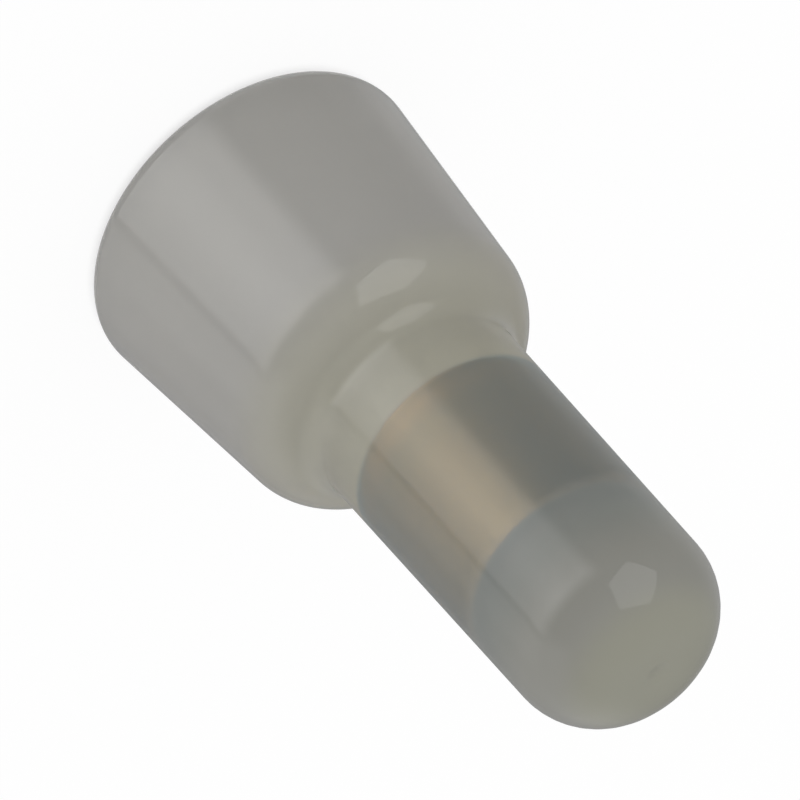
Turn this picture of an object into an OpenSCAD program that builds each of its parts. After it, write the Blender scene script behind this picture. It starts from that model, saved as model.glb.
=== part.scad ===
// Closed end splice connector: a moulded cap with a flared skirt, and the crimp sleeve in its barrel.
// It stands on its mouth. Z runs along the axis, and the origin is the centre of the mouth.

/* [Skirt] */
// Outer diameter across the mouth
mouth_d = 12.94; // [12:0.02:15]
// Outer diameter at the corner where the skirt meets the shoulder
skirt_top_d = 11.06; // [10.6:0.02:12.6]
// Length from the mouth to that corner
skirt_l = 9.8; // [7:0.05:14]
// Thickness of the skirt's wall
skirt_wall = 1.1; // [0.95:0.05:1.4]
// Rounding of the rim's outer edge
rim_round = 0.65; // [0.3:0.05:0.65]
// Rounding of the rim's inner edge
lip_round = 0.2; // [0.1:0.05:0.25]

/* [Shoulder] */
// Length over which the shoulder narrows to the barrel
shoulder_l = 0.83; // [0.7:0.01:2]
// Thickness of the shoulder's wall
shoulder_wall = 1.1; // [0.8:0.05:1.4]
// Rounding of the corner between skirt and shoulder
shoulder_round = 2.1; // [1:0.05:3]
// Rounding of that corner on the inside
funnel_round = 1.4; // [0.5:0.05:1.6]
// Rounding in the neck between shoulder and barrel
neck_round = 1.05; // [0.4:0.05:1.3]
// Rounding of the funnel's edge at the barrel, which leads the wires in
entry_round = 0.8; // [0.3:0.05:1]

/* [Barrel] */
// Thickness of the barrel's wall over the sleeve, at the neck
barrel_wall = 0.78; // [0.6:0.02:1]
// How much the barrel's radius shrinks from the neck to the closed end
barrel_draft = 0.22; // [0:0.02:0.3]
// Width of the ledge that the sleeve seats on
ledge_w = 0.52; // [0.3:0.02:0.7]
// Free length past the sleeve for the ends of the wires
tip_space = 4.25; // [3:0.05:7]
// Thickness of the closed end
end_wall = 1.35; // [0.9:0.05:2]
// Rounding of the closed end
tip_round = 2.8; // [1.8:0.05:3.1]
// Diameter of the gate mark in the middle of the closed end
gate_d = 0.9; // [0.6:0.05:1]
// Depth of the gate mark
gate_depth = 0.12; // [0.05:0.01:0.2]

/* [Crimp sleeve] */
// Outer diameter of the sleeve
sleeve_d = 6.2; // [5.9:0.05:6.6]
// Thickness of the sleeve's wall
sleeve_wall = 0.75; // [0.6:0.05:1]
// Length of the sleeve
sleeve_l = 6.9; // [5:0.1:10]
// Distance from the neck to the sleeve's open end
sleeve_inset = 2.1; // [1:0.05:3]
// Rounding of the sleeve's edges
sleeve_edge = 0.15; // [0.05:0.05:0.25]

/* [Fit] */
// Clearance round the sleeve in its pocket
sleeve_clearance = 0.02; // [0.01:0.01:0.06]

/* [Hidden] */
$fn = 160;

// Radii
mouth_r = mouth_d / 2;
skirt_top_r = skirt_top_d / 2;
sleeve_r = sleeve_d / 2;
sleeve_bore_r = sleeve_r - sleeve_wall;
pocket_r = sleeve_r + sleeve_clearance;
barrel_r = pocket_r + barrel_wall;
tip_r = barrel_r - barrel_draft;
tip_bore_r = pocket_r - ledge_w;
gate_r = gate_d / 2;

// Heights above the mouth
neck_z = skirt_l + shoulder_l;
sleeve_z = neck_z + sleeve_inset;
ledge_z = sleeve_z + sleeve_l;
tip_bore_z = ledge_z + tip_space;
cap_l = tip_bore_z + end_wall;

// Radius lost per unit of height, along the skirt and along the shoulder
skirt_slope = (mouth_r - skirt_top_r) / skirt_l;
shoulder_slope = (skirt_top_r - barrel_r) / shoulder_l;

// The inner walls run parallel to the outer ones
lip_r = mouth_r - skirt_wall * norm([1, skirt_slope]);
shoulder_drop = shoulder_wall * norm([1, shoulder_slope]) / shoulder_slope;
funnel_foot_z = skirt_l - shoulder_drop;
funnel_z = (skirt_top_r - lip_r + shoulder_slope * funnel_foot_z) / (shoulder_slope - skirt_slope);
funnel_r = lip_r - skirt_slope * funnel_z;
entry_z = funnel_foot_z + (skirt_top_r - pocket_r) / shoulder_slope;

// How much each wall leans from the axis
skirt_lean = atan(skirt_slope);
shoulder_lean = atan(shoulder_slope);
barrel_lean = atan(barrel_draft / (cap_l - neck_z));

// On a short shoulder the roundings at its two ends shrink together, so that both find room
shoulder_share = round_share(
    norm([skirt_top_r - barrel_r, shoulder_l]),
    [shoulder_round, neck_round],
    [shoulder_lean - skirt_lean, shoulder_lean - barrel_lean]
);
funnel_share = round_share(
    norm([funnel_r - pocket_r, entry_z - funnel_z]),
    [funnel_round, entry_round],
    [shoulder_lean - skirt_lean, shoulder_lean]
);

// The closed end's inner rounding keeps the wall that the barrel has there
tip_bore_round = tip_round - (tip_r - tip_bore_r);

// How far the cavity's cutting shape reaches past the mouth
mouth_overcut = 1;

// How far a corner piece reaches from its arc's centre, in multiples of the way to the outline
overreach = 1.3;

// How far an arc bites past its sides, so that it meets them at a definite point
arc_bite = 0.0005;

// Outlines of the section as [radius, height, rounding of the corner], counter-clockwise
cap_outline = [
    [0, 0, 0],
    [mouth_r, 0, rim_round],
    [skirt_top_r, skirt_l, shoulder_share * shoulder_round],
    [barrel_r, neck_z, shoulder_share * neck_round],
    [tip_r, cap_l, tip_round],
    [gate_r, cap_l, 0],
    [gate_r - gate_depth, cap_l - gate_depth, 0],
    [0, cap_l - gate_depth, 0]
];
cavity_outline = [
    [0, -mouth_overcut, 0],
    [mouth_r + mouth_overcut, -mouth_overcut, 0],
    [mouth_r + mouth_overcut, 0, 0],
    [lip_r, 0, lip_round],
    [funnel_r, funnel_z, funnel_share * funnel_round],
    [pocket_r, entry_z, funnel_share * entry_round],
    [pocket_r, ledge_z, 0],
    [tip_bore_r, ledge_z, 0],
    [tip_bore_r, tip_bore_z, tip_bore_round],
    [0, tip_bore_z, 0]
];
sleeve_outline = [
    [sleeve_bore_r, sleeve_z, sleeve_edge],
    [sleeve_r, sleeve_z, sleeve_edge],
    [sleeve_r, ledge_z, sleeve_edge],
    [sleeve_bore_r, ledge_z, sleeve_edge]
];

// Share of the wanted radii that fits on a side of that length, given the turn at each of its ends
function round_share(side_l, radii, turns) =
    min(1, 0.97 * side_l / (radii[0] * tan(turns[0] / 2) + radii[1] * tan(turns[1] / 2)));

function unit(v) = v / norm(v);
function corner(outline, i) = [outline[i].x, outline[i].y];
function before(outline, i) = corner(outline, (i + len(outline) - 1) % len(outline));
function after(outline, i) = corner(outline, (i + 1) % len(outline));

// Directions from a corner along its two sides
function side_in(outline, i) = unit(before(outline, i) - corner(outline, i));
function side_out(outline, i) = unit(after(outline, i) - corner(outline, i));

// Half of the angle between the sides, and whether the outline bulges at the corner
function half_angle(outline, i) = acos(side_in(outline, i) * side_out(outline, i)) / 2;
function bulges(outline, i) = cross(side_out(outline, i), side_in(outline, i)) > 0;

// Centre of a corner's arc, and the points where the arc touches the two sides
function touch_l(outline, i) = outline[i].z / tan(half_angle(outline, i));
function touch_in(outline, i) = corner(outline, i) + side_in(outline, i) * touch_l(outline, i);
function touch_out(outline, i) = corner(outline, i) + side_out(outline, i) * touch_l(outline, i);
function arc_centre(outline, i) =
    corner(outline, i)
    + unit(side_in(outline, i) + side_out(outline, i)) * outline[i].z / sin(half_angle(outline, i));

// What lies between a corner and its arc, carried on a little past the two sides
module corner_piece(outline, i) {
    centre = arc_centre(outline, i);
    first = bulges(outline, i) ? touch_in(outline, i) : touch_out(outline, i);
    last = bulges(outline, i) ? touch_out(outline, i) : touch_in(outline, i);
    rim = [first, corner(outline, i), last];
    difference() {
        polygon(concat([centre], [for (point = rim) centre + overreach * (point - centre)]));
        translate(centre) circle(r = outline[i].z + arc_bite);
    }
}

// The outline with its corners rounded: bulging corners are cut back and hollow ones filled
module rounded(outline) {
    round_corners = [for (i = [0:len(outline) - 1]) if (outline[i].z > 0) i];
    difference() {
        polygon([for (i = [0:len(outline) - 1]) corner(outline, i)]);
        for (i = round_corners) if (bulges(outline, i)) corner_piece(outline, i);
    }
    for (i = round_corners) if (!bulges(outline, i)) corner_piece(outline, i);
}

// Moulded cap: skirt, shoulder, barrel and closed end in one wall
module insulating_cap() {
    color([0.58, 0.57, 0.54])
        rotate_extrude()
            difference() {
                rounded(cap_outline);
                rounded(cavity_outline);
            }
}

// Plain tube that is crimped onto the wires, seated on the ledge in the barrel
module crimp_sleeve() {
    color([0.72, 0.52, 0.38])
        rotate_extrude()
            rounded(sleeve_outline);
}

insulating_cap();
crimp_sleeve();
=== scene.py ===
"""Closed end splice connector: a translucent moulded cap over a copper crimp sleeve, in a pale studio."""

import math

import bmesh
import bpy
from mathutils import Matrix, Vector


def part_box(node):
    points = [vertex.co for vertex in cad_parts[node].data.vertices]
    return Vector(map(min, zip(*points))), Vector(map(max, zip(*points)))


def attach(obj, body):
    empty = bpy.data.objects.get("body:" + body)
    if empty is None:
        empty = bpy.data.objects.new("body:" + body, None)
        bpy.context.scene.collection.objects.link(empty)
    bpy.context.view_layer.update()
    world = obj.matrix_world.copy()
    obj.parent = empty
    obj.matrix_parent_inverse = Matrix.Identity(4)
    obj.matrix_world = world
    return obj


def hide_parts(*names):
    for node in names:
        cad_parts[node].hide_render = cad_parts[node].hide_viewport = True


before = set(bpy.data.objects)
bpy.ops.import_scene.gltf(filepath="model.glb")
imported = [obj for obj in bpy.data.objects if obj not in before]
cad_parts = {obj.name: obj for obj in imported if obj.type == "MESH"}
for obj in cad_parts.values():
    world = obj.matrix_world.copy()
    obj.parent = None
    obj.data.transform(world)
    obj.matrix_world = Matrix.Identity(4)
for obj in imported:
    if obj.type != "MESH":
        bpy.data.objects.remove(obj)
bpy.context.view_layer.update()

bl_info = {
    "name": "Closed End Splice Connector",
    "version": (1, 0, 0),
    "blender": (4, 5, 0),
    "location": "View3D > Sidebar > Connector",
    "description": "Builds a moulded splice connector with its crimp sleeve, and a studio stage round it",
    "category": "Add Mesh",
}

_, CAP_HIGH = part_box("insulating_cap")
SLEEVE_LOW, SLEEVE_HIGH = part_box("crimp_sleeve")

MM = 0.001
AXIS = (0.0, 0.0, 1.0)
ORIGIN = (0.0, 0.0, 0.0)
FULL_TURN = 2.0 * math.pi
QUARTER_TURN = math.pi / 2
WHITE = (1.0, 1.0, 1.0)

# How finely the round shapes are divided, which edges stay sharp, and how close doubles lie
CAP_ARC_STEPS = 14
SLEEVE_ARC_STEPS = 6
ROUND_STEPS = 192
CARD_SEGMENTS = 96
SHARP_ANGLE = math.radians(30.0)
DOUBLES_DISTANCE = 0.0001 * MM

# How much the nylon's flow marks change its haze, its clear colour and its milky colour
FLOW_HAZE = 0.06
FLOW_CLOUD = 0.2
FLOW_MILK = 0.1

# How much the copper's streaks change its roughness, how much stains dull it, and how much painted shade
# darkens it deeper in the barrel
STREAK_ROUGH = 0.12
STAIN_DULL = 0.4
INWARD_SHADE = 0.6

# Side of the picture in pixels, width of the camera's sensor in millimetres, and where its view starts
PICTURE_SIDE = 800
SENSOR_WIDTH = 36.0
VIEW_START = 10 * MM

# Sizes and places on the stage in metres. Those of the floor and of the softbox's card are halves
FLOOR_HALF = 1.5
FLOOR_DROP = 0.02 * MM
SURROUND_RADIUS = 0.5
BASE_HEIGHT = -0.5
ROOF_HEIGHT = 0.5
LAMP_SIZE = 0.6
LAMP_PLACE = (0.0, 0.1, 0.5)
SOFTBOX_DISTANCE = 0.3
SOFTBOX_WIDE = 0.145
SOFTBOX_HIGH = 0.17

# How far the softbox's five corners are turned in its plane
SOFTBOX_CORNER = math.radians(105.0)

# Share of the rim's radius inside which the floor's shade is full
FULL_SHADE = 0.8

# Brightness of the softbox, by the distance from its middle in shares of SOFTBOX_HIGH
SOFTBOX_FADE = ((0.0, 1.0), (0.7, 0.96), (1.0, 0.86))

# Heights in metres over which the surround turns to the low light, to the high light and to the roof's
LOW_BAND = (-0.46, -0.39)
HIGH_BAND = (-0.14, 0.07)
ROOF_BAND = (0.15, 0.5)

# Brightness of the surround as a share of its strength, by degrees from the front towards +X
LOW_LIGHT = (
    (-180.0, 0.13),
    (-157.0, 0.165),
    (-135.0, 0.165),
    (-105.0, 0.085),
    (-84.0, 0.03),
    (-28.0, 0.06),
    (-10.0, 0.65),
    (20.0, 0.88),
    (55.0, 0.6),
    (60.0, 0.24),
    (62.5, 0.24),
    (67.0, 0.37),
    (82.0, 0.37),
    (105.0, 0.24),
    (140.0, 0.155),
    (180.0, 0.13),
)
HIGH_LIGHT = (
    (-180.0, 0.08),
    (-150.0, 0.13),
    (-105.0, 0.06),
    (45.0, 0.06),
    (70.0, 0.3),
    (150.0, 0.24),
    (180.0, 0.08),
)


def length(name, description, millimetres):
    """A length that the user can change, kept in metres."""
    return bpy.props.FloatProperty(
        name=name, description=description, default=millimetres * MM, min=0.0, precision=5, unit="LENGTH"
    )


def turn(name, description, degrees):
    """An angle that the user can change, kept in radians."""
    return bpy.props.FloatProperty(
        name=name, description=description, default=math.radians(degrees), subtype="ANGLE"
    )


def share(name, description, value):
    """A share between nothing and all."""
    return bpy.props.FloatProperty(
        name=name, description=description, default=value, min=0.0, max=1.0, subtype="FACTOR"
    )


def level(name, description, value):
    """A plain number that isn't negative."""
    return bpy.props.FloatProperty(name=name, description=description, default=value, min=0.0)


def colour(name, description, value):
    """A linear colour."""
    return bpy.props.FloatVectorProperty(
        name=name, description=description, default=value, min=0.0, max=1.0, size=3, subtype="COLOR"
    )


class CapSizes(bpy.types.PropertyGroup):
    """Sizes of the moulded cap: the solid's, with a softer gate mark and a pocket that grips the sleeve."""

    mouth_d: length("Mouth", "Outer diameter across the mouth", 12.94)
    skirt_top_d: length("Skirt top", "Outer diameter where the skirt meets the shoulder", 11.06)
    skirt_l: length("Skirt length", "Length from the mouth to the shoulder's corner", 9.8)
    skirt_wall: length("Skirt wall", "Thickness of the skirt's wall", 1.1)
    rim_round: length("Rim rounding", "Rounding of the rim's outer edge", 0.65)
    lip_round: length("Lip rounding", "Rounding of the rim's inner edge", 0.2)
    shoulder_l: length("Shoulder length", "Length over which the shoulder narrows to the barrel", 0.83)
    shoulder_wall: length("Shoulder wall", "Thickness of the shoulder's wall", 1.1)
    shoulder_round: length("Shoulder rounding", "Rounding between skirt and shoulder", 2.1)
    funnel_round: length("Funnel rounding", "Rounding of that corner on the inside", 1.4)
    neck_round: length("Neck rounding", "Rounding between shoulder and barrel", 1.05)
    entry_round: length("Entry rounding", "Rounding of the funnel's edge at the barrel", 0.8)
    barrel_r: length("Barrel radius", "Outer radius of the barrel at the neck", 3.9)
    tip_r: length("Tip radius", "Outer radius of the barrel at the closed end", 3.68)
    tip_round: length("Tip rounding", "Rounding of the closed end", 2.8)
    tip_bore_r: length("Tip bore radius", "Radius of the space past the sleeve", 2.6)
    tip_bore_round: length("Tip bore rounding", "Rounding at the end of that space", 1.72)
    end_wall: length("End wall", "Thickness of the closed end", 1.35)
    gate_d: length("Gate mark", "Diameter of the gate mark in the closed end", 0.9)
    gate_depth: length("Gate depth", "Depth of the gate mark", 0.06)
    gate_floor_d: length("Gate floor", "Diameter of the gate mark's flat floor", 0.3)
    gate_round: length("Gate rounding", "Rounding of the gate mark's edges", 0.5)
    sleeve_grip: length("Sleeve grip", "How far the pocket's wall reaches into the sleeve", 0.02)


class SleeveSizes(bpy.types.PropertyGroup):
    """Sizes of the crimp sleeve."""

    wall: length("Wall", "Thickness of the sleeve's wall", 0.75)
    edge_round: length("Edge rounding", "Rounding of the sleeve's edges", 0.15)


class Finishes(bpy.types.PropertyGroup):
    """Colours and gloss of the two pieces."""

    nylon: colour("Nylon", "Colour of the skirt's nylon", (0.66, 0.658, 0.64))
    nylon_thick: colour("Thick nylon", "Colour of the shoulder's nylon", (0.715, 0.705, 0.606))
    nylon_thin: colour("Thin nylon", "Colour of the nylon over the sleeve", (0.38, 0.458, 0.472))
    nylon_entry: colour("Entry nylon", "Colour of the nylon where the sleeve starts", (0.36, 0.46, 0.485))
    nylon_past: colour("Barrel nylon", "Colour of the nylon past the sleeve", (0.47, 0.525, 0.515))
    nylon_tip: colour("Tip nylon", "Colour of the nylon in the closed end", (0.545, 0.55, 0.475))
    milk_skirt: colour("Skirt milk", "Colour of the milky skirt", (0.43, 0.42, 0.4))
    milk_neck: colour("Neck milk", "Colour of the milky shoulder and neck", (0.425, 0.415, 0.35))
    # These two milky colours are darker than the tip's: painted shade of the dark hollow past the sleeve,
    # fading over the rounding towards the tip
    milk_past_painted_shade: colour("Barrel milk", "Colour of the milky barrel past the sleeve", (0.217, 0.224, 0.206))
    milk_round_painted_shade: colour("Rounding milk", "Colour of the closed end's milky rounding", (0.248, 0.246, 0.22))
    milk_tip: colour("Tip milk", "Colour of the milky closed end", (0.27, 0.268, 0.217))
    skirt_milk: share("Skirt milkiness", "How milky the skirt and shoulder are", 0.3)
    past_milk: share("Barrel milkiness", "How milky the barrel is just past the sleeve", 0.5)
    tip_milk: share("Tip milkiness", "How milky the closed end is", 0.95)
    nylon_cloud: colour("Cloudy nylon", "Colour of the cloudier flow marks in it", (0.7, 0.7, 0.67))
    skirt_end: length("Skirt end", "Height near which the skirt's nylon turns into the shoulder's", 9.8)
    nylon_clear: share("Nylon clearness", "Share of the light that passes into the nylon", 0.7)
    nylon_haze: share("Nylon haze", "How much the nylon blurs what is behind it", 0.4)
    barrel_gloss: share("Barrel gloss", "Gloss of the barrel's skin, where the skirt's is 1", 0.72)
    tip_gloss: share("Tip gloss", "Gloss of the closed end's skin, where the skirt's is 1", 0.95)
    nylon_skin: share("Nylon skin", "Roughness of the moulded skin", 0.012)
    nylon_ior: level("Nylon index", "Index of refraction of the nylon", 1.25)
    nylon_inner: share("Inner gloss", "Gloss of the nylon under its skin", 0.1)
    nylon_depth: colour("Nylon depth", "Tint of light that has crossed the nylon", (0.86, 0.79, 0.62))
    nylon_density: level("Nylon density", "How fast that tint grows, per metre", 200.0)
    copper: colour("Copper", "Colour of the bare sleeve", (0.97, 0.575, 0.225))
    # This colour serves both the real stains and the painted shade towards the sleeve's inner end
    copper_stain_and_shade: colour("Dull copper", "Colour of the sleeve where it is dull", (0.75, 0.455, 0.2))
    copper_edge: share("Copper edge", "How bright the copper is where it turns away", 0.4)
    copper_rough: share("Copper roughness", "Roughness of the drawn tube", 0.36)


class Studio(bpy.types.PropertyGroup):
    """Camera, floor and lights."""

    tilt: turn("Tilt", "How far the camera looks down on the part", 36.957)
    roll: turn("Roll", "How far the camera is turned about its own axis", 138.059)
    distance: length("Distance", "From the camera to the aim on the part's axis", 195.0)
    aim_z: length("Aim", "Height of the aim on the part's axis", 10.14)
    aim_column: level("Aim column", "Picture column at which the aim appears", 405.29)
    aim_row: level("Aim row", "Picture row at which the aim appears", 392.79)
    focal: level("Focal length", "Focal length in picture pixels", 5837.7)
    floor: colour("Floor", "Colour of the floor", (0.9, 0.9, 0.9))
    floor_white: share("Floor white", "Share of plain white in the floor as it is seen", 0.93)
    floor_shade: share("Floor shade", "How much less white the floor is under the part", 0.8)
    backdrop: level("Backdrop", "White of the backdrop", 1.0)
    ambient: level("Ambient", "Soft light from all round", 0.9)
    overhead: level("Overhead", "Power of the large lamp above", 0.4)
    surround: level("Surround", "Strength of the reflected light all round", 2.4)
    softbox: level("Softbox", "Brightness of the raised softbox", 1.25)
    softbox_turn: turn("Softbox turn", "Where the softbox stands, round the part", -48.0)
    softbox_rise: turn("Softbox rise", "How high the softbox stands", 34.0)
    roof: level("Roof", "Brightness of the roof", 0.3)
    base: level("Base", "Brightness of what the rim reflects from below", 0.65)


class Value:
    """A socket of a node tree, with arithmetic that adds Math nodes."""

    def __init__(self, shader, socket):
        self.shader = shader
        self.socket = socket

    def _math(self, operation, first, second):
        return self.shader.node("ShaderNodeMath", {"operation": operation}, {0: first, 1: second})

    def __add__(self, other):
        return self._math("ADD", self, other)

    def __radd__(self, other):
        return self._math("ADD", other, self)

    def __sub__(self, other):
        return self._math("SUBTRACT", self, other)

    def __rsub__(self, other):
        return self._math("SUBTRACT", other, self)

    def __mul__(self, other):
        return self._math("MULTIPLY", self, other)

    def __rmul__(self, other):
        return self._math("MULTIPLY", other, self)

    def __or__(self, other):
        return self._math("MAXIMUM", self, other)


class Shader:
    """A node tree that is written from Python."""

    def __init__(self, owner):
        owner.use_nodes = True
        self.tree = owner.node_tree
        self.tree.nodes.clear()

    def node(self, kind, settings, sockets, output=0):
        """Adds a node with its settings, then the values or links of its sockets, and returns an output."""
        made = self.tree.nodes.new(kind)
        for name, value in settings.items():
            setattr(made, name, value)
        for key, value in sockets.items():
            socket = made.inputs[key]
            if isinstance(value, Value):
                self.tree.links.new(value.socket, socket)
            else:
                socket.default_value = (*value, 1.0) if socket.type == "RGBA" else value
        return Value(self, made.outputs[output]) if made.outputs else None

    def place(self, stretch=(1.0, 1.0, 1.0), rotation=(0.0, 0.0, 0.0)):
        """Position on the object in metres, with its axes stretched and turned."""
        position = self.node("ShaderNodeTexCoord", {}, {}, "Object")
        return self.node(
            "ShaderNodeMapping", {}, {"Vector": position, "Rotation": rotation, "Scale": stretch}
        )

    def height(self):
        """Height on the object in metres."""
        return self.node("ShaderNodeSeparateXYZ", {}, {0: self.place()}, "Z")

    def from_origin(self):
        """Distance from the object's origin in metres."""
        return self.node("ShaderNodeVectorMath", {"operation": "LENGTH"}, {0: self.place()}, "Value")

    def noise(self, place, scale, detail):
        """Soft noise between 0 and 1, with its scale per metre."""
        return self.node("ShaderNodeTexNoise", {}, {"Vector": place, "Scale": scale, "Detail": detail})

    def reached(self, value, start, end, easing="LINEAR"):
        """How far a value has come on its way from start to end, from 0 to 1."""
        return self.node(
            "ShaderNodeMapRange",
            {"interpolation_type": easing},
            {"Value": value, "From Min": start, "From Max": end},
        )

    def blend(self, factor, first, second):
        """A colour between two colours."""
        return self.node("ShaderNodeMix", {"data_type": "RGBA"}, {0: factor, 6: first, 7: second}, 2)

    def bump(self, height, strength, distance):
        """A normal that follows a height."""
        return self.node(
            "ShaderNodeBump", {}, {"Height": height, "Strength": strength, "Distance": distance}
        )

    def glow(self, shade, strength):
        """Plain light."""
        return self.node("ShaderNodeEmission", {}, {"Color": shade, "Strength": strength})

    def matt(self, shade):
        """A plain matt surface."""
        return self.node("ShaderNodeBsdfDiffuse", {}, {"Color": shade})

    def mix(self, factor, first, second):
        """One shader over another."""
        return self.node("ShaderNodeMixShader", {}, {0: factor, 1: first, 2: second})

    def ramp(self, factor, stops):
        """A colour that eases from stop to stop."""
        value = self.node("ShaderNodeValToRGB", {}, {0: factor})
        ramp = value.socket.node.color_ramp
        ramp.interpolation = "EASE"
        while len(ramp.elements) < len(stops):
            ramp.elements.new(0.5)
        for element, (position, shade) in zip(ramp.elements, stops):
            element.position = position
            element.color = (*shade, 1.0)
        return value

    def output(self, surface, **more):
        """Finishes a material."""
        self.node("ShaderNodeOutputMaterial", {}, {"Surface": surface, **more})

    def split(self, straight, reflected):
        """What straight rays see, and what reflections see."""
        return self.mix(self.node("ShaderNodeLightPath", {}, {}, "Glossy Depth"), straight, reflected)

    def nothing(self):
        """A surface that lets all light through."""
        return self.node("ShaderNodeBsdfTransparent", {}, {})

    def seen(self, straight=1.0):
        """How much rays see of the background: straight, in a reflection or through something clear."""
        camera, glossy, clear = (
            self.node("ShaderNodeLightPath", {}, {}, name)
            for name in ("Is Camera Ray", "Is Glossy Ray", "Is Transmission Ray")
        )
        return camera * straight | glossy | clear


class CapPlaces:
    """Places along the cap at which its nylon changes, as shares of its length from the mouth."""

    def __init__(self, skirt_end_z):
        skirt_end = skirt_end_z / CAP_HIGH.z
        sleeve_start = SLEEVE_LOW.z / CAP_HIGH.z
        sleeve_end = SLEEVE_HIGH.z / CAP_HIGH.z
        self.skirt = skirt_end - 0.08
        self.milky_shoulder = skirt_end + 0.03
        self.shoulder = skirt_end + 0.04
        self.glossy_shoulder = skirt_end + 0.05
        self.dim_barrel = sleeve_start - 0.04
        self.sleeve_start = sleeve_start
        self.before_entry = sleeve_start + 0.016
        self.entry = sleeve_start + 0.028
        self.thin_wall = sleeve_start + 0.14
        self.thin_wall_end = sleeve_end - 0.01
        self.past_sleeve = sleeve_end + 0.02
        self.milky_barrel = sleeve_end + 0.04
        self.dim_barrel_end = 0.88
        self.rounding = 0.92
        self.rounding_end = 0.95
        self.tip = 0.99


def grey(value):
    """A colour with the same value in all its channels."""
    return (value, value, value)


def swing(noise, amount):
    """What a noise adds and takes away about its middle."""
    return amount * (noise - 0.5)


def around(lights):
    """Ramp stops round the axis, from brightness by degrees from the front, which is the ramp's middle."""
    return [(0.5 + degrees / 360.0, grey(bright)) for degrees, bright in lights]


def material(name):
    """A new material and the shader that writes its nodes."""
    made = bpy.data.materials.new(name)
    return made, Shader(made)


def nylon_material(finish):
    """Cloudy moulded nylon with a glossy skin, which tints light in its depth."""
    made, shader = material("Cloudy moulded nylon")
    flow = shader.noise(shader.place(stretch=(1.0, 1.0, 0.35)), scale=420.0, detail=3.0)
    ripple = shader.noise(shader.place(), scale=700.0, detail=1.0)
    height = shader.height() * (1.0 / CAP_HIGH.z)
    at = CapPlaces(finish.skirt_end)
    veil = shader.ramp(
        height,
        [
            (at.skirt, finish.nylon),
            (at.shoulder, finish.nylon_thick),
            (at.before_entry, finish.nylon_thick),
            (at.entry, finish.nylon_entry),
            (at.thin_wall, finish.nylon_thin),
            (at.thin_wall_end, finish.nylon_thin),
            (at.past_sleeve, finish.nylon_past),
            (at.tip, finish.nylon_tip),
        ],
    )
    # The milky colour holds painted shade past the sleeve, darkest just past it and fading over the closed
    # end's rounding to the tip
    milk = shader.ramp(
        height,
        [
            (at.skirt, finish.milk_skirt),
            (at.shoulder, finish.milk_neck),
            (at.entry, finish.milk_neck),
            (at.thin_wall_end, finish.milk_past_painted_shade),
            (at.milky_barrel, finish.milk_past_painted_shade),
            (at.rounding, finish.milk_round_painted_shade),
            (at.rounding_end, finish.milk_round_painted_shade),
            (at.tip, finish.milk_tip),
        ],
    )
    milkiness = shader.ramp(
        height,
        [
            (at.milky_shoulder, grey(finish.skirt_milk)),
            (at.sleeve_start, grey(0.0)),
            (at.thin_wall_end, grey(0.0)),
            (at.past_sleeve, grey(finish.past_milk)),
            (at.rounding, grey(finish.tip_milk)),
        ],
    )
    gloss = shader.ramp(
        height,
        [
            (at.glossy_shoulder, WHITE),
            (at.dim_barrel, grey(finish.barrel_gloss)),
            (at.dim_barrel_end, grey(finish.barrel_gloss)),
            (at.rounding, grey(finish.tip_gloss)),
        ],
    )
    skin = {
        "Roughness": finish.nylon_haze + swing(flow, FLOW_HAZE),
        "IOR": finish.nylon_ior,
        "Specular Tint": grey(finish.nylon_inner),
        "Coat Weight": gloss,
        "Coat Roughness": finish.nylon_skin,
        "Normal": shader.bump(ripple, strength=0.3, distance=0.02 * MM),
    }
    clear = shader.node(
        "ShaderNodeBsdfPrincipled",
        {},
        {
            **skin,
            "Base Color": shader.blend(flow * FLOW_CLOUD, veil, finish.nylon_cloud),
            "Transmission Weight": finish.nylon_clear,
        },
    )
    milky = shader.node(
        "ShaderNodeBsdfPrincipled",
        {},
        {**skin, "Base Color": shader.blend(flow * FLOW_MILK, milk, finish.milk_skirt)},
    )
    depth = shader.node(
        "ShaderNodeVolumeAbsorption",
        {},
        {"Color": finish.nylon_depth, "Density": finish.nylon_density},
    )
    shader.output(shader.mix(milkiness, clear, milky), Volume=depth)
    return made


def copper_material(finish):
    """Bare drawn copper tube with faint streaks along it, duller in stains, with painted shade that darkens
    it towards its inner end.
    """
    made, shader = material("Drawn copper")
    streaks = shader.noise(shader.place(stretch=(1.0, 1.0, 0.06)), scale=1600.0, detail=3.0)
    stain = shader.noise(shader.place(), scale=300.0, detail=2.0)
    inward_shade = shader.reached(shader.height(), SLEEVE_LOW.z, SLEEVE_HIGH.z)
    # Real stains, plus painted shade that darkens the copper towards its inner end, deeper in the barrel
    dull = STAIN_DULL * stain + INWARD_SHADE * inward_shade
    surface = shader.node(
        "ShaderNodeBsdfPrincipled",
        {},
        {
            "Base Color": shader.blend(dull, finish.copper, finish.copper_stain_and_shade),
            "Metallic": 1.0,
            "Specular Tint": grey(finish.copper_edge),
            "Roughness": finish.copper_rough + swing(streaks, STREAK_ROUGH),
            "Normal": shader.bump(streaks, strength=0.12, distance=0.02 * MM),
        },
    )
    shader.output(surface)
    return made


def panel_material(name, strength):
    """A panel that shines evenly, and that only reflections see."""
    made, shader = material(name)
    shader.output(shader.split(shader.nothing(), shader.glow(WHITE, strength)))
    return made


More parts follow.
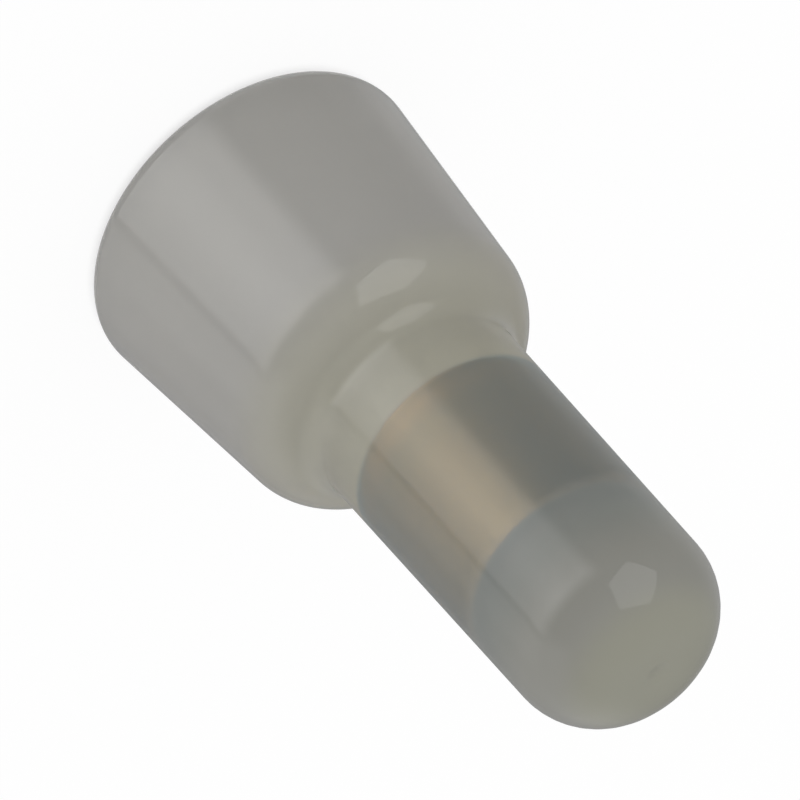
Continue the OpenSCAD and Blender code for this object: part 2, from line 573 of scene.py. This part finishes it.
def surround_material(studio):
    """Light all round that only reflections see: from the base over a low and a high light to the roof."""
    made, shader = material("Surround light")
    from_front = shader.place(rotation=(0.0, 0.0, QUARTER_TURN))
    angle = shader.node("ShaderNodeTexGradient", {"gradient_type": "RADIAL"}, {"Vector": from_front}, "Fac")
    low, high = (shader.ramp(angle, around(lights)) for lights in (LOW_LIGHT, HIGH_LIGHT))
    roof = grey(studio.roof / studio.surround)
    height = shader.height()
    brightness = grey(studio.base / studio.surround)
    for light, (start, end) in ((low, LOW_BAND), (high, HIGH_BAND), (roof, ROOF_BAND)):
        brightness = shader.blend(shader.reached(height, start, end, "SMOOTHSTEP"), brightness, light)
    shader.output(shader.split(shader.nothing(), shader.glow(brightness, studio.surround)))
    return made


def softbox_material(studio):
    """A softbox that is brightest in its middle, and that only reflections see."""
    made, shader = material("Softbox light")
    outwards = shader.from_origin() * (1.0 / SOFTBOX_HIGH)
    spread = shader.ramp(outwards, [(way, grey(bright)) for way, bright in SOFTBOX_FADE])
    shader.output(shader.split(shader.nothing(), shader.glow(spread, studio.softbox)))
    return made


def floor_material(studio):
    """A pale floor that keeps the part's shadow, otherwise shows as white, and isn't reflected."""
    made, shader = material("Pale floor")
    under_part = shader.reached(shader.from_origin(), CAP_HIGH.x, FULL_SHADE * CAP_HIGH.x)
    shown = shader.seen(studio.floor_white) * (1.0 - under_part * studio.floor_shade)
    surface = shader.mix(shown, shader.matt(studio.floor), shader.glow(WHITE, studio.backdrop))
    shader.output(shader.split(surface, shader.nothing()))
    return made


def add_object(name, data):
    """A new object in the scene."""
    made = bpy.data.objects.new(name, data)
    bpy.context.collection.objects.link(made)
    return made


def add_piece(name, mesh, finish):
    """An object for a finished bmesh, with its place in the mesh."""
    data = bpy.data.meshes.new(name)
    mesh.to_mesh(data)
    mesh.free()
    data.materials.append(finish)
    return add_object(name, data)


def add_prop(name, mesh, finish):
    """A stage prop that shows only in reflections."""
    prop = add_piece(name, mesh, finish)
    prop.visible_camera = False
    prop.visible_diffuse = False
    prop.visible_shadow = False
    return prop


def section_point(corner):
    """The point of a section's corner, which is given as (radius, height, rounding)."""
    radius, height, _ = corner
    return Vector((radius, 0.0, height))


def draw_corner(mesh, before, corner, after, steps):
    """Adds a section's corner, rounded by spinning its first point, and returns its two end vertices."""
    point = section_point(corner)
    rounding = corner[2]
    if rounding <= 0.0:
        vertex = mesh.verts.new(point)
        return vertex, vertex
    way_in = (point - section_point(before)).normalized()
    way_out = (section_point(after) - point).normalized()
    bend = way_in.angle(way_out)
    spin_axis = way_in.cross(way_out).normalized()
    start = point - way_in * rounding * math.tan(bend / 2)
    vertex = mesh.verts.new(start)
    arc = bmesh.ops.spin(
        mesh,
        geom=[vertex],
        cent=start + spin_axis.cross(way_in) * rounding,
        axis=spin_axis,
        angle=bend,
        steps=steps,
    )
    last = next(item for item in arc["geom_last"] if isinstance(item, bmesh.types.BMVert))
    return vertex, last


def turned(corners, closed, arc_steps):
    """A bmesh turned about the axis from a section's corners."""
    mesh = bmesh.new()
    before = corners[-1:] + corners[:-1]
    after = corners[1:] + corners[:1]
    ends = [draw_corner(mesh, *three, arc_steps) for three in zip(before, corners, after)]
    sides = list(zip(ends, ends[1:] + ends[:1]))
    for (_, start), (end, _) in sides if closed else sides[:-1]:
        mesh.edges.new((start, end))
    bmesh.ops.spin(
        mesh,
        geom=mesh.verts[:] + mesh.edges[:],
        cent=ORIGIN,
        axis=AXIS,
        angle=FULL_TURN,
        steps=ROUND_STEPS,
        use_merge=True,
    )
    bmesh.ops.remove_doubles(mesh, verts=mesh.verts[:], dist=DOUBLES_DISTANCE)
    bmesh.ops.recalc_face_normals(mesh, faces=mesh.faces[:])
    for face in mesh.faces:
        face.smooth = True
    for edge in mesh.edges:
        edge.smooth = edge.calc_face_angle(0.0) < SHARP_ANGLE
    return mesh


def cap_section(size):
    """The cap's section, from the middle of the closed end over the outside to the end of its hollow."""
    cap_l = CAP_HIGH.z
    mouth_r = size.mouth_d / 2
    skirt_top_r = size.skirt_top_d / 2
    gate_z = cap_l - size.gate_depth
    neck_z = size.skirt_l + size.shoulder_l
    pocket_r = SLEEVE_HIGH.x - size.sleeve_grip
    tip_bore_z = cap_l - size.end_wall
    skirt_slope = (mouth_r - skirt_top_r) / size.skirt_l
    shoulder_slope = (skirt_top_r - size.barrel_r) / size.shoulder_l
    lip_r = mouth_r - size.skirt_wall * math.hypot(1.0, skirt_slope)
    funnel_foot_z = size.skirt_l - size.shoulder_wall * math.hypot(1.0, shoulder_slope) / shoulder_slope
    funnel_z = (skirt_top_r - lip_r + shoulder_slope * funnel_foot_z) / (shoulder_slope - skirt_slope)
    funnel_r = lip_r - skirt_slope * funnel_z
    entry_z = funnel_foot_z + (skirt_top_r - pocket_r) / shoulder_slope
    return [
        (0.0, gate_z, 0.0),
        (size.gate_floor_d / 2, gate_z, size.gate_round),
        (size.gate_d / 2, cap_l, size.gate_round),
        (size.tip_r, cap_l, size.tip_round),
        (size.barrel_r, neck_z, size.neck_round),
        (skirt_top_r, size.skirt_l, size.shoulder_round),
        (mouth_r, 0.0, size.rim_round),
        (lip_r, 0.0, size.lip_round),
        (funnel_r, funnel_z, size.funnel_round),
        (pocket_r, entry_z, size.entry_round),
        (pocket_r, SLEEVE_HIGH.z, 0.0),
        (size.tip_bore_r, SLEEVE_HIGH.z, 0.0),
        (size.tip_bore_r, tip_bore_z, size.tip_bore_round),
        (0.0, tip_bore_z, 0.0),
    ]


def sleeve_section(size):
    """The sleeve's wall as a rectangle with rounded corners."""
    outer_r = SLEEVE_HIGH.x
    bore_r = outer_r - size.wall
    low, high = SLEEVE_LOW.z, SLEEVE_HIGH.z
    return [
        (bore_r, low, size.edge_round),
        (outer_r, low, size.edge_round),
        (outer_r, high, size.edge_round),
        (bore_r, high, size.edge_round),
    ]


def round_card(radius, height):
    """A flat round card across the axis."""
    mesh = bmesh.new()
    bmesh.ops.create_circle(mesh, cap_ends=True, segments=CARD_SEGMENTS, radius=radius)
    bmesh.ops.translate(mesh, vec=(0.0, 0.0, height), verts=mesh.verts[:])
    return mesh


def round_wall(radius, low, high):
    """An upright wall all round the axis."""
    mesh = bmesh.new()
    foot = mesh.verts.new((0.0, -radius, low))
    top = mesh.verts.new((0.0, -radius, high))
    edge = mesh.edges.new((foot, top))
    bmesh.ops.spin(
        mesh,
        geom=[foot, top, edge],
        cent=ORIGIN,
        axis=AXIS,
        angle=FULL_TURN,
        steps=ROUND_STEPS,
        use_merge=True,
    )
    return mesh


def five_sided_card(wide, high):
    """A flat card with five corners, given by half of its width and height."""
    mesh = bmesh.new()
    bmesh.ops.create_circle(mesh, cap_ends=True, segments=5, radius=1.0)
    bmesh.ops.rotate(
        mesh, verts=mesh.verts[:], cent=ORIGIN, matrix=Matrix.Rotation(SOFTBOX_CORNER, 3, "Z")
    )
    bmesh.ops.scale(mesh, vec=(wide, high, 1.0), verts=mesh.verts[:])
    return mesh


class CONNECTOR_OT_cap(bpy.types.Operator):
    """Turns the moulded cap from its section"""

    bl_idname = "connector.cap"
    bl_label = "Insulating Cap"

    def execute(self, context):
        scene = context.scene
        mesh = turned(cap_section(scene.connector_cap), closed=False, arc_steps=CAP_ARC_STEPS)
        piece = add_piece("moulded_cap", mesh, nylon_material(scene.connector_finish))
        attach(piece, "root")
        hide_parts("insulating_cap")
        return {"FINISHED"}


class CONNECTOR_OT_sleeve(bpy.types.Operator):
    """Turns the crimp sleeve from its section"""

    bl_idname = "connector.sleeve"
    bl_label = "Crimp Sleeve"

    def execute(self, context):
        scene = context.scene
        mesh = turned(sleeve_section(scene.connector_sleeve), closed=True, arc_steps=SLEEVE_ARC_STEPS)
        piece = add_piece("copper_sleeve", mesh, copper_material(scene.connector_finish))
        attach(piece, "root")
        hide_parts("crimp_sleeve")
        return {"FINISHED"}


class CONNECTOR_OT_stage(bpy.types.Operator):
    """Sets the floor, the light panels, the lamp, the world and the camera"""

    bl_idname = "connector.stage"
    bl_label = "Studio Stage"

    def execute(self, context):
        scene = context.scene
        studio = scene.connector_studio
        self.lay_floor(studio)
        self.set_panels(studio)
        self.hang_lamp(studio)
        self.fill_world(scene, studio)
        self.place_camera(scene, studio)
        scene.view_settings.view_transform = "Standard"
        return {"FINISHED"}

    def lay_floor(self, studio):
        """Lays the floor just under the mouth."""
        mesh = bmesh.new()
        bmesh.ops.create_grid(mesh, x_segments=1, y_segments=1, size=FLOOR_HALF)
        bmesh.ops.translate(mesh, vec=(0.0, 0.0, -FLOOR_DROP), verts=mesh.verts[:])
        add_piece("Floor", mesh, floor_material(studio))

    def set_panels(self, studio):
        """Closes the part in with panels, and raises the softbox inside them."""
        wall = round_wall(SURROUND_RADIUS, BASE_HEIGHT, ROOF_HEIGHT)
        add_prop("Surround", wall, surround_material(studio))
        base = round_card(SURROUND_RADIUS, BASE_HEIGHT)
        add_prop("Base", base, panel_material("Base light", studio.base))
        roof = round_card(SURROUND_RADIUS, ROOF_HEIGHT)
        add_prop("Roof", roof, panel_material("Roof light", studio.roof))
        card = five_sided_card(SOFTBOX_WIDE, SOFTBOX_HIGH)
        softbox = add_prop("Softbox", card, softbox_material(studio))
        softbox.matrix_world = (
            Matrix.Rotation(studio.softbox_turn, 4, "Z")
            @ Matrix.Rotation(QUARTER_TURN - studio.softbox_rise, 4, "X")
            @ Matrix.Translation((0.0, 0.0, SOFTBOX_DISTANCE))
        )

    def hang_lamp(self, studio):
        """Hangs the large lamp, which doesn't show in reflections or through the nylon."""
        lamp = bpy.data.lights.new("Overhead lamp", "AREA")
        lamp.shape = "DISK"
        lamp.size = LAMP_SIZE
        lamp.energy = studio.overhead
        overhead = add_object("Overhead lamp", lamp)
        overhead.location = LAMP_PLACE
        overhead.visible_glossy = False
        overhead.visible_transmission = False

    def fill_world(self, scene, studio):
        """Fills the world with soft light, which is seen as the white backdrop."""
        world = bpy.data.worlds.new("Studio")
        scene.world = world
        shader = Shader(world)
        soft_light = shader.glow(WHITE, studio.ambient)
        backdrop = shader.glow(WHITE, studio.backdrop)
        surface = shader.mix(shader.seen(), soft_light, backdrop)
        shader.node("ShaderNodeOutputWorld", {}, {"Surface": surface})

    def place_camera(self, scene, studio):
        """Places the camera so that the aim appears at its column and row of the picture."""
        lens = bpy.data.cameras.new("Camera")
        lens.sensor_width = SENSOR_WIDTH
        lens.lens = studio.focal * SENSOR_WIDTH / PICTURE_SIDE
        lens.clip_start = VIEW_START
        camera = add_object("Camera", lens)
        look = Matrix.Rotation(QUARTER_TURN - studio.tilt, 4, "X") @ Matrix.Rotation(studio.roll, 4, "Z")
        middle = PICTURE_SIDE / 2
        aim = Vector((studio.aim_column - middle, middle - studio.aim_row, -studio.focal)) / studio.focal
        aim_point = Vector((0.0, 0.0, studio.aim_z))
        camera.matrix_world = Matrix.Translation(aim_point - look.to_3x3() @ aim * studio.distance) @ look
        scene.camera = camera


class CONNECTOR_PT_panel(bpy.types.Panel):
    """Lists the pieces of the connector and its stage"""

    bl_idname = "CONNECTOR_PT_panel"
    bl_label = "Splice Connector"
    bl_space_type = "VIEW_3D"
    bl_region_type = "UI"
    bl_category = "Connector"

    def draw(self, context):
        for operator in OPERATORS:
            self.layout.operator(operator.bl_idname)


OPERATORS = (CONNECTOR_OT_cap, CONNECTOR_OT_sleeve, CONNECTOR_OT_stage)
GROUPS = {
    "connector_cap": CapSizes,
    "connector_sleeve": SleeveSizes,
    "connector_finish": Finishes,
    "connector_studio": Studio,
}


def register():
    """Registers the classes and puts the property groups on the scene."""
    for group in GROUPS.values():
        bpy.utils.register_class(group)
    for operator in OPERATORS:
        bpy.utils.register_class(operator)
    bpy.utils.register_class(CONNECTOR_PT_panel)
    for name, group in GROUPS.items():
        setattr(bpy.types.Scene, name, bpy.props.PointerProperty(type=group))


def unregister():
    """Takes back what register did."""
    for name in GROUPS:
        delattr(bpy.types.Scene, name)
    bpy.utils.unregister_class(CONNECTOR_PT_panel)
    for operator in reversed(OPERATORS):
        bpy.utils.unregister_class(operator)
    for group in reversed(GROUPS.values()):
        bpy.utils.unregister_class(group)


def main():
    """Builds the pieces and the stage."""
    register()
    bpy.ops.connector.cap()
    bpy.ops.connector.sleeve()
    bpy.ops.connector.stage()


if __name__ == "__main__":
    main()
